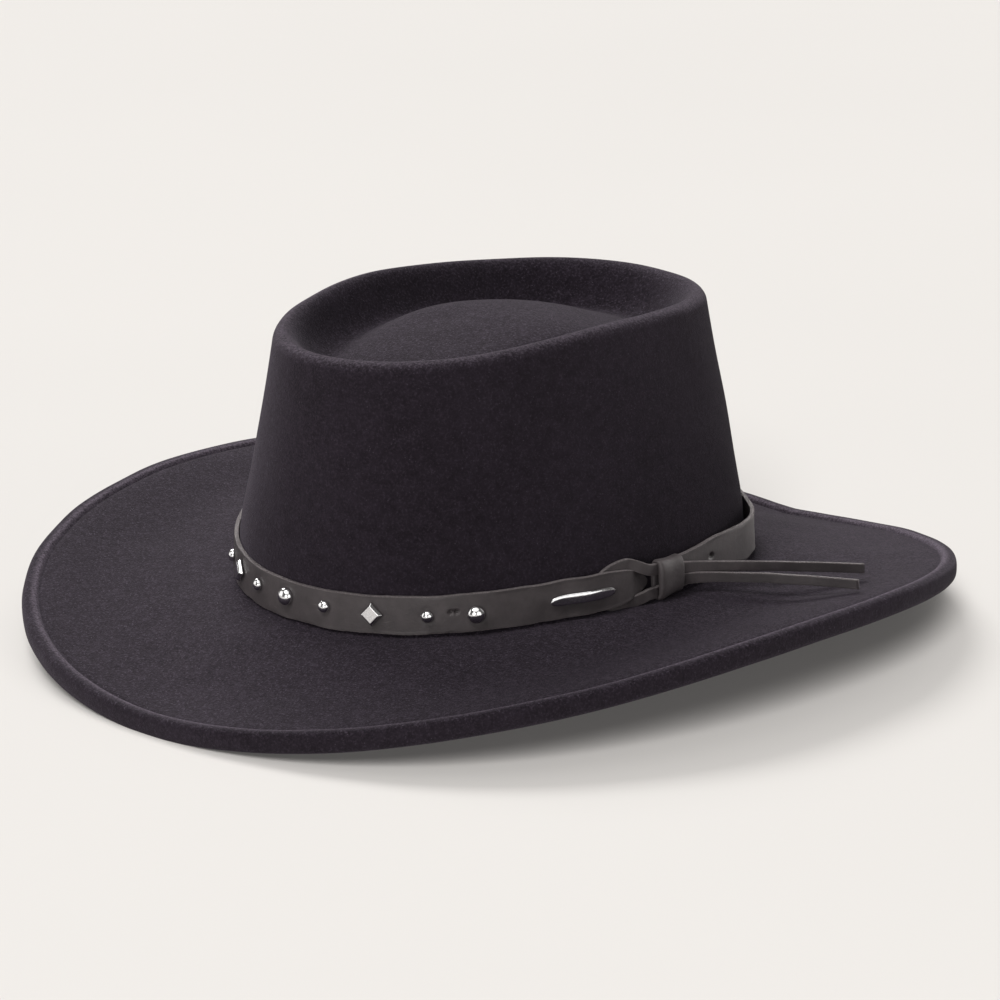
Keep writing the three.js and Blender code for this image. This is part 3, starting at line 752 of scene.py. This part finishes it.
# Holes in the band, in millimetres: along it, height above its middle, half length, half height
HOLES = [
    (171, 0.4, 1.7, 0.9),
    (59.5, 0.9, 0.75, 0.75),
    (61.6, 0.9, 0.75, 0.75),
]
HOLE_DEPTH = 1.2 * MM
HOLE_LIP, HOLE_SLOPE = 1.15, 0.4  # in its half sizes: where it starts, and over which it deepens
STUD_PRESS = 0.22 * MM  # the leather is pressed in round each stud
PRESS_PAST, PRESS_SLOPE = 1.4 * MM, 1.6 * MM  # past the stud's rim, and over which it deepens
DIAMOND_REACH = 0.85  # share of a diamond's half width that its pressed mark follows
BULGE_AT = 206 * MM  # behind the knot the band stands off the crown
BULGE_LENGTH = 20 * MM
BULGE_OUT = 3 * MM
EDGE_ROUND = 0.35 * MM
BAND_RIPPLE = Ripple(seed=5, waves=30, shortest=6 * MM, longest=60 * MM, height=0.22 * MM)
EDGE_RIPPLE = Ripple(seed=6, waves=40, shortest=2 * MM, longest=20 * MM, height=0.2 * MM)
EDGE_RIPPLE_OUT = 0.5  # share of it that goes outward
RIPPLE_LOWEST = -0.2 * MM
TAPER_END = 0.9999  # stops the tongue just before its tip closes to nothing


def hollows(along, height):
    """How far the band's outer face is pressed in or punched at a place."""
    depth = np.zeros(np.broadcast(along, height).shape)
    for at, up, half_length, half_height in HOLES:
        off = np.mod(along - at * MM + BAND_ROUND / 2, BAND_ROUND) - BAND_ROUND / 2
        x = off / (half_length * MM)
        y = (height - BAND_MIDDLE - up * MM) / (half_height * MM)
        inside = np.sqrt(x**2 + y**2)
        hole = HOLE_DEPTH * smooth((HOLE_LIP - inside) / HOLE_SLOPE)
        depth = np.maximum(depth, hole)
    for kind, at, up in STUDS:
        x = along - at * STUD_PITCH
        y = height - BAND_MIDDLE - up * BAND_WIDTH
        reach = np.hypot(x, y)
        if kind == "diamond":
            reach = (np.abs(x) + np.abs(y)) * DIAMOND_REACH
        size = STUD_RADIUS.get(kind, DIAMOND_HALF * DIAMOND_REACH)
        depth = depth + STUD_PRESS * smooth((size + PRESS_PAST - reach) / PRESS_SLOPE)
    return depth


def band_out(along):
    """How far the band's inner face stands out from the felt."""
    past = along - LOOP_END
    on_top = smooth((past + BAND_CLIMB) / (BAND_CLIMBED * BAND_CLIMB))
    return lerp(lerp(SEAT_GAP, BAND_OVER, on_top), SEAT_GAP, crossing(past / LOOP_LENGTH))


def band_piece():
    tongue = TONGUE_SHARE * LOOP_LENGTH
    body = np.arange(REAR_END - BAND_ROUND, LOOP_END, BAND_STATION)
    turn = np.linspace(0, QUARTER, TONGUE_STATIONS)
    stations = np.append(body, LOOP_END + tongue * np.sin(turn))
    past, wrapped = stations - LOOP_END, stations + BAND_ROUND
    out = band_out(stations) + BULGE_OUT * bump_at(wrapped, BULGE_AT, BULGE_LENGTH)
    taper = np.clip(past / tongue, 0, TAPER_END)
    narrowed = REAR_TAPER / 2 * (1 - smooth((wrapped - REAR_END) / REAR_TAPER_LENGTH))
    half = BAND_WIDTH / 2 * np.sqrt(1 - taper**TONGUE_BLUNTNESS) - narrowed
    middle = BAND_MIDDLE - KNOT_DROP * closing(past / LOOP_LENGTH) - narrowed
    section, edge = slab(BAND_WIDTH / 2, LEATHER / 2, EDGE_ROUND, BAND_ACROSS)
    sideways = section[:, 0] / (BAND_WIDTH / 2)
    height = middle[:, None] + half[:, None] * sideways
    along = np.broadcast_to(stations[:, None], height.shape)
    out = out[:, None] + section[:, 1] + LEATHER / 2
    even = band_point(along, height, out)
    is_edge = edge == 1
    is_face = (section[:, 1] > 0) & ~is_edge
    frayed = np.where(is_edge, EDGE_RIPPLE(even), 0)
    ripple = BAND_RIPPLE(even) * is_face + frayed * EDGE_RIPPLE_OUT
    pressed = np.where(is_face, hollows(along, height), 0)
    height = height + frayed * np.sign(sideways)
    sections = band_point(along, height, out - pressed + np.maximum(ripple, RIPPLE_LOWEST))
    piece = strap("leather_band", sections, edge)
    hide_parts("hat_band")


# The cord that makes the loop and the two tails
LOOP_ROUND = 0.85  # below 1 the loop is fuller than an oval


def loop_places(side, turn):
    def at(t):
        share = (1 - np.cos(t)) / 2
        wide = ((BAND_WIDTH - CORD_WIDTH) / 2 + LOOP_OVER) * np.clip(np.sin(t), 0, 1) ** LOOP_ROUND
        closed = closing(share)
        along = LOOP_END + CORD_WIDTH / 2 + share * (LOOP_LENGTH - CORD_WIDTH / 2)
        height = BAND_MIDDLE + side * lerp(wide, CORD_APART, closed) - KNOT_DROP * closed
        return np.stack([along, height], axis=-1)

    small = 0.02
    middle = at(turn)
    ahead = unit(at(turn + small) - at(turn - small))
    out = lerp(CORD_UNDER, CORD_IN_KEEPER, crossing((1 - np.cos(turn)) / 2)) + CORD_THICKNESS / 2
    origin, forth, up, away = band_frame(middle[:, 0], middle[:, 1])
    across = forth * (-side * ahead[:, 1:]) + up * (side * ahead[:, :1])
    return origin + away * out[:, None], across, away


def keeper_places(side, past):
    spread = lerp(CORD_APART, CORD_TOGETHER, past / KEEPER_LENGTH + 0.5)
    height = KEEPER_MIDDLE + side * spread
    origin, _, up, away = band_frame(KEEPER_AT + past, height)
    return origin + away * (CORD_IN_KEEPER + CORD_THICKNESS / 2), up, away


def brim_top_under(point):
    angle = np.arctan2(point[:, 0], -point[:, 1])
    reach = np.hypot(point[:, 0], point[:, 1])
    inner, outer = oval_point(BRIM_INNER, angle, 0.0), oval_point(BRIM_OUTER, angle, 0.0)
    start = np.hypot(inner[:, 0], inner[:, 1])
    share = (reach - start) / (np.hypot(outer[:, 0], outer[:, 1]) - start)
    return brim_point(angle, np.clip(share, 0, 1))[:, 2]


def tail_middles(side, share):
    length, swing, late, droop = UPPER_TAIL if side > 0 else LOWER_TAIL
    middle, _, away = keeper_places(side, np.array([KEEPER_LENGTH / 2]))
    outward = unit(away * np.array([1, 1, 0]))
    forth = np.stack([-outward[:, 1], outward[:, 0], np.zeros(1)], axis=-1)
    points = middle + forth * (share * length)[:, None] + outward * (swing * share**late)[:, None]
    points[:, 2] -= droop * share
    least = brim_top_under(points) + TAIL_OVER_BRIM + CORD_WIDTH / 2 * TAIL_NARROWED
    points[:, 2] = np.maximum(points[:, 2], least)
    return points


def tail_places(side, share):
    small = 0.01
    _, across, _ = keeper_places(side, np.array([KEEPER_LENGTH / 2]))
    ahead = tail_middles(side, share) - tail_middles(side, share - small)
    away = unit(np.cross(ahead, np.broadcast_to(across, ahead.shape)))
    narrowed = lerp(1, TAIL_NARROWED, smooth(2 * share))[:, None]
    return tail_middles(side, share), across * narrowed, away


def cord_half(side):
    parts = [
        loop_places(side, np.linspace(0, math.pi, LOOP_STATIONS)[1:-1]),
        keeper_places(side, np.linspace(-0.5, 0.5, KEEPER_STATIONS) * KEEPER_LENGTH),
        tail_places(side, steps(0, 1, TAIL_STATIONS)),
    ]
    return [np.concatenate(column) for column in zip(*parts)]


CORD_RIPPLE = Ripple(seed=9, waves=30, shortest=5 * MM, longest=30 * MM, height=0.15 * MM)
CORD_UNEVEN, KEEPER_UNEVEN = 0.6, 0.8  # shares of the ripple that the cord and its keeper take
CORD_EDGE_ROUND = 0.3 * MM


def cord_piece():
    section, edge = slab(CORD_WIDTH / 2, CORD_THICKNESS / 2, CORD_EDGE_ROUND, CORD_ACROSS)

    def placed(places, side):
        middle, across, away = (column[:, None] for column in places)
        return middle + across * (side * section[:, :1]) + away * section[:, 1:]

    front = placed(loop_places(1, np.zeros(1)), 1)
    lower = placed([column[::-1] for column in cord_half(-1)], -1)
    upper = placed(cord_half(1), 1)
    sections = np.concatenate([lower, front, upper])
    sections = sections + CORD_RIPPLE(sections)[..., None] * CORD_UNEVEN
    piece = strap("knot_cord", sections, edge)
    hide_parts("band_cord")


# The keeper: the leather sleeve round both halves of the cord
KEEPER_MOUTH = CORD_THICKNESS / 2 + SEAT_GAP  # half the depth of its front opening
KEEPER_LIP = 0.7 * MM
KEEPER_DRAWN_IN = 1.4 * MM  # its lower edge rises by this to the rear
KEEPER_HOLLOW = 0.35 * MM  # its middle is drawn in by this, all round
HOLLOW_AT, HOLLOW_LENGTH = 0.1, 0.6  # place and length of the dip, as shares of its half length
FRONT_SLOPE = 0.45  # how much of its front's rounding also draws in the upper and lower edges
MOUTH_EDGE, MOUTH_INSIDE = 0.6, 0.7  # share of the wall's thickness above and below its mouth


def keeper_ring(past, inset_up, inset_out):
    along_up, along_out = squared(turns_round(KEEPER_SIDES), KEEPER_SQUARENESS)
    origin, _, up, out = band_frame(KEEPER_AT + np.array([past]), np.array([KEEPER_MIDDLE]))
    drawn = KEEPER_DRAWN_IN / 2 * smooth(past / KEEPER_LENGTH + 0.5)
    half_up, half_out = KEEPER_HEIGHT / 2 - inset_up - drawn, KEEPER_DEPTH / 2 - inset_out
    return (
        origin
        + up * (drawn + half_up * along_up)[:, None]
        + out * (SEAT_GAP + KEEPER_DEPTH / 2 + half_out * along_out)[:, None]
    )


def keeper_piece():
    half, lip, wall = KEEPER_LENGTH / 2, KEEPER_LIP, KEEPER_WALL
    round_front, closed = 2 * lip, KEEPER_DEPTH / 2 - KEEPER_MOUTH
    outer, front = [], []
    for past in np.linspace(half - lip, round_front - half, KEEPER_OUTER_RINGS):
        hollow = KEEPER_HOLLOW * bump_at(past, HOLLOW_AT * half, HOLLOW_LENGTH * half)
        outer.append((past, hollow, hollow))
    for turn in steps(0, QUARTER, KEEPER_FRONT_RINGS):
        out = round_front * (1 - math.cos(turn))
        front.append((round_front * (1 - math.sin(turn)) - half, out * FRONT_SLOPE, out))
    front.append((-half, wall * MOUTH_EDGE, closed - lip))
    front.append((0.3 * lip - half, wall * MOUTH_INSIDE, closed))
    inner = [
        (round_front - half, wall * MOUTH_INSIDE, closed),
        (0.0, wall, wall),
        (half - lip, wall, wall),
    ]
    back = []
    for turn in np.linspace(0, math.pi, KEEPER_BACK_RINGS + 2)[1:-1]:
        inset = wall / 2 * (1 + math.cos(turn))
        back.append((half - lip + lip * math.sin(turn), inset, inset))
    rings = np.array([keeper_ring(*step) for step in outer + front + inner + back])
    rings = rings + CORD_RIPPLE(rings)[..., None] * KEEPER_UNEVEN
    faces = ring_faces(len(rings), KEEPER_SIDES, closed=True)
    piece = new_piece("leather_keeper", rings, faces, [LEATHER_LOOK])
    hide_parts("band_keeper")


# Metal trim, made with its back on z = 0 and facing +Z
STUD_SINK = 0.25 * MM  # nearer to the pressed leather than the solid's stud
DOME_TOP = 1.55  # radians up the dome of its smallest ring
DIAMOND_HOLLOW = 0.97  # below 1 the diamond's sides curve in
DIAMOND_SOFT = 0.12 * MM  # rounding of the edges of its bevel
DIAMOND_FOOT = 0.05 * MM


def turned(profile, outline):
    """Rings of a profile of (reach, height) rows inside an outline of unit reach."""
    rows = np.array(profile)
    rings = np.zeros((len(rows), len(outline), 3))
    rings[..., :2] = outline[None] * rows[:, :1, None]
    rings[..., 2] = rows[:, 1:]
    return rings


def metal_piece(name, rings, node):
    piece = new_piece(name, *capped(rings), [METAL_LOOK])
    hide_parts(node)


def round_stud_rings(radius):
    turn = turns_round(STUD_SIDES)
    circle = np.stack([np.cos(turn), np.sin(turn)], axis=-1)
    height = STUD_DOME * radius
    profile = []
    for up in np.linspace(DOME_TOP, 0, STUD_RINGS):
        profile.append((radius * math.cos(up), STUD_RIM + height * math.sin(up)))
    profile += [(radius, STUD_RIM * 0.5), (radius * 0.99, 0.04 * MM), (radius * 0.95, 0.0)]
    return turned(profile, circle)


def diamond_rings():
    outline = np.stack(squared(turns_round(DIAMOND_SIDES), DIAMOND_HOLLOW), axis=-1)
    half, top, low = DIAMOND_HALF, DIAMOND_HEIGHT, DIAMOND_HEIGHT / 3
    face, soft, foot = half - DIAMOND_BEVEL, DIAMOND_SOFT, DIAMOND_FOOT
    profile = [(face * share, top) for share in (0.02, 0.3, 0.6, 0.85)]
    profile += [(face - soft, top), (face, top - soft * 0.3), (face + soft, top - soft)]
    profile += [(half - soft, low + soft), (half, low), (half, low - soft)]
    profile += [(half, foot), (half - foot, 0.0)]
    return turned(profile, outline)


def seated(rings, at, up):
    place = np.array([at * STUD_PITCH]), np.array([BAND_MIDDLE + up * BAND_WIDTH])
    origin, forth, rise, out = (column[0] for column in band_frame(*place))
    seat = origin + out * (LEATHER + 2 * SEAT_GAP - STUD_SINK)
    return seat + rings @ np.stack([forth, rise, out])


def stud_pieces():
    for i, (kind, at, up) in enumerate(STUDS, 1):
        rings = diamond_rings() if kind == "diamond" else round_stud_rings(STUD_RADIUS[kind])
        name = f"stud_{i}_{kind}"
        metal_piece(f"polished_{name}", seated(rings, at, up), name)


BAR_SQUARENESS = 3.2
BAR_END_SQUARENESS = 6
BAR_TIP = 0.02  # share of its width that is left at its very ends
BAR_END_THICKNESS = 0.7


def bar_piece():
    """A plain rounded bar, bent to the band."""
    share = np.linspace(-1, 1, BAR_STATIONS)
    full = np.sqrt(np.clip(1 - np.abs(share) ** BAR_END_SQUARENESS, 0, 1))
    taper = lerp(BAR_TIP, 1, full)[:, None]
    sideways, outward = squared(turns_round(BAR_SIDES), BAR_SQUARENESS)
    height = BAND_MIDDLE + BAR_WIDTH / 2 * taper * sideways
    along = np.broadcast_to((BAR_AT + share * BAR_LENGTH / 2)[:, None], height.shape)
    seat = band_out(along) + SEAT_GAP + LEATHER + BAR_THICKNESS / 2
    out = seat + BAR_THICKNESS / 2 * lerp(BAR_END_THICKNESS, 1, taper) * outward
    metal_piece("polished_bar", band_point(along, height, out), "plain_bar")


felt_piece()
band_piece()
cord_piece()
keeper_piece()
stud_pieces()
bar_piece()


# Floor, lights and camera
FLOOR_HALF = 8.0


def floor():
    half = FLOOR_HALF
    corners = [(-half, -half, 0), (half, -half, 0), (half, half, 0), (-half, half, 0)]
    mesh = bpy.data.meshes.new("floor")
    mesh.from_pydata(corners, [], [(0, 1, 2, 3)])
    mesh.materials.append(floor_material())
    piece = bpy.data.objects.new("floor", mesh)
    bpy.context.scene.collection.objects.link(piece)


VIEW_AZIMUTH = math.radians(43.5)
VIEW_ELEVATION = math.radians(16.154)
VIEW_DISTANCE = 1.75
VIEW_RIGHT = 0.0025
VIEW_UP = 0.04595
FOCAL_SHARE = 4.6684  # focal length as a share of the picture's width
SENSOR = 36.0


def camera():
    back = Vector((
        math.sin(VIEW_AZIMUTH) * math.cos(VIEW_ELEVATION),
        -math.cos(VIEW_AZIMUTH) * math.cos(VIEW_ELEVATION),
        math.sin(VIEW_ELEVATION),
    ))
    right = Vector((math.cos(VIEW_AZIMUTH), math.sin(VIEW_AZIMUTH), 0))
    up = back.cross(right)
    data = bpy.data.cameras.new("camera")
    data.sensor_fit = "HORIZONTAL"
    data.sensor_width = SENSOR
    data.lens = SENSOR * FOCAL_SHARE
    data.clip_end = 60
    seen = bpy.data.objects.new("camera", data)
    turn = Matrix((right, up, back)).transposed().to_4x4()
    place = right * VIEW_RIGHT + up * VIEW_UP + back * VIEW_DISTANCE
    seen.matrix_world = Matrix.Translation(place) @ turn
    bpy.context.scene.collection.objects.link(seen)
    bpy.context.scene.camera = seen


# Far softboxes: name, direction towards it, width in degrees, strength, and what it lights
SOFTBOXES = [
    ("hat_key", (-0.01, -0.5, 0.87), 30, 1.45, "hat"),
    ("hat_front", (0.39, -0.9, 0.21), 30, 0.66, "hat"),
    ("hat_left", (-0.72, 0.3, 0.62), 30, 1.5, "hat"),
    ("hat_back", (-0.57, 0.6, 0.56), 25, 1.3, "hat"),
    ("hat_right", (0.39, 0.78, 0.5), 40, 0.15, "hat"),
    ("strap_back", (0.3, 0.93, 0.21), 60, 1.9, "leather"),
    ("trim_top", (0.25, -0.35, 0.9), 60, 1.0, "metal"),
    ("trim_left", (-0.75, -0.6, 0.25), 50, 0.75, "metal"),
    ("trim_right", (0.95, -0.25, 0.16), 50, 0.9, "metal"),
    ("floor_key", (-0.58, 0.19, 0.79), 30, 1.55, "floor"),
    ("floor_front", (0.49, -0.63, 0.6), 25, 3.1, "floor"),
    ("floor_top", (0.0, 0.0, 1.0), 90, 0.62, "floor"),
]
LAMP_COLOUR = (1.0, 0.985, 0.965)
SKY_COLOUR = (1.0, 0.975, 0.945, 1.0)
SKY_STRENGTH = 0.14


def lights():
    kinds = ("hat", "leather", "metal", "floor")
    lit = {kind: bpy.data.collections.new(f"lit_{kind}") for kind in kinds}
    for piece in [thing for thing in bpy.context.scene.objects if thing.type == "MESH"]:
        lit["floor" if piece.name == "floor" else "hat"].objects.link(piece)
        if piece.name.startswith("polished"):
            lit["metal"].objects.link(piece)
        if piece.name.startswith(("leather", "knot")):
            lit["leather"].objects.link(piece)
    for name, towards, width, strength, what in SOFTBOXES:
        data = bpy.data.lights.new(name, "SUN")
        data.angle = math.radians(width)
        data.energy = strength
        data.color = LAMP_COLOUR
        lamp = bpy.data.objects.new(name, data)
        lamp.location = towards
        lamp.rotation_euler = Vector(towards).to_track_quat("Z", "Y").to_euler()
        lamp.light_linking.receiver_collection = lit[what]
        bpy.context.scene.collection.objects.link(lamp)
    world = bpy.data.worlds.new("studio")
    world.use_nodes = True
    sky = world.node_tree.nodes["Background"]
    sky.inputs["Color"].default_value = SKY_COLOUR
    sky.inputs["Strength"].default_value = SKY_STRENGTH
    bpy.context.scene.world = world
    bpy.context.scene.view_settings.view_transform = "Standard"


floor()
camera()
lights()
